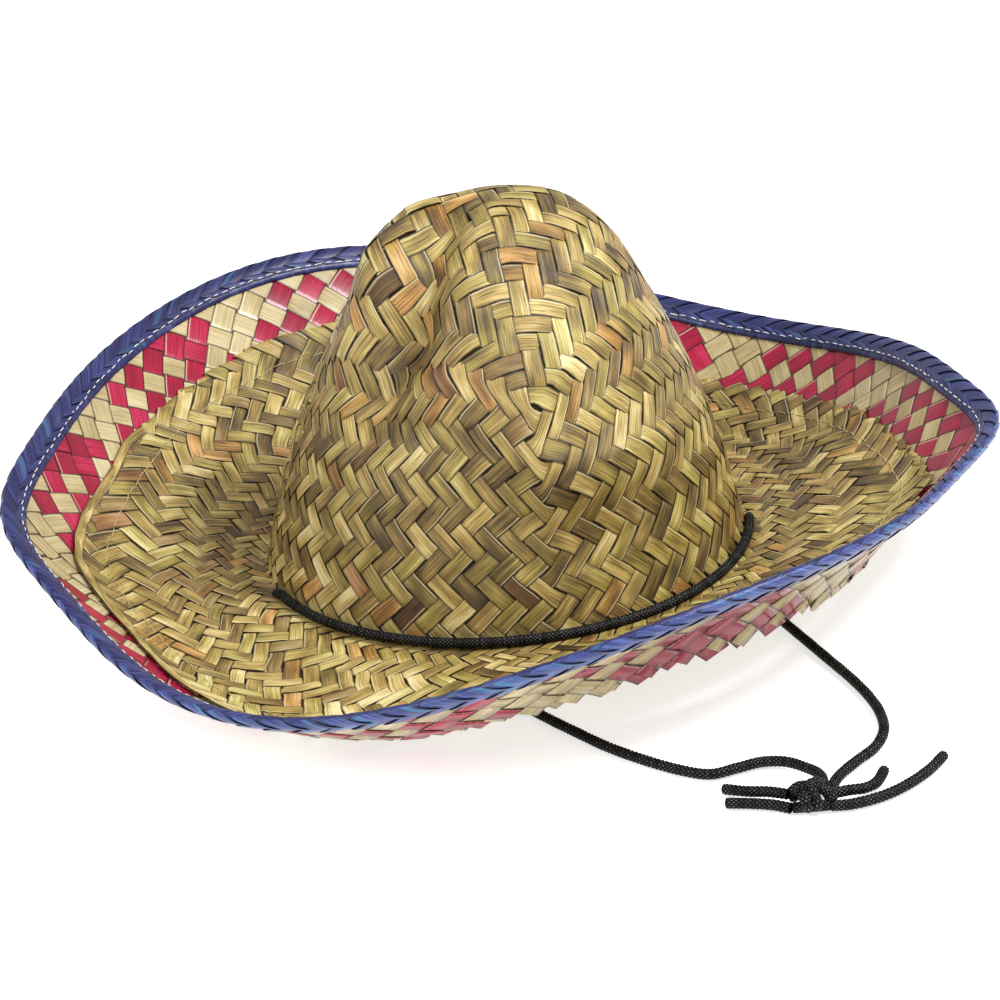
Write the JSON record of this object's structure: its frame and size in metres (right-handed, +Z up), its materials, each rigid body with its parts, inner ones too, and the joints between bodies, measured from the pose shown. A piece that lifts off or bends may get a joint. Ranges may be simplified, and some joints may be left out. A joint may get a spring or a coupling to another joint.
{
  "type": "sombrero",
  "caption": "Wide-brimmed woven straw hat with a tall dented crown, a turned-up check-plaited band, a plaited edge binding and a knotted chin cord.",
  "frame": {"origin": "middle of the hat's footprint, on the surface that it lies on; the crown's axis stands 4.7 mm to the right of it", "axes": "+Z up through the crown, -Y to the front, where the crown's plait has its nearest corner and the chin cord lies, +X to the right"},
  "size_m": [0.4088, 0.4716, 0.1644],
  "materials": {
    "straw": "satin",
    "palm": "semi-gloss",
    "binding": "satin",
    "natural_thread": "matt",
    "white_thread": "matt",
    "cord": "satin"
  },
  "bodies": {
    "root": {"crown": "straw", "brim": "straw", "check_band": "palm", "edge_binding": "binding", "band_seam": "natural_thread", "binding_seam": "white_thread", "crown_cord": "cord", "chin_cord_left": "cord", "chin_cord_right": "cord", "knot": "cord", "tail_left_upper": "cord", "tail_left_lower": "cord", "tail_right_long": "cord", "tail_right_short": "cord"}
  },
  "joints": []
}
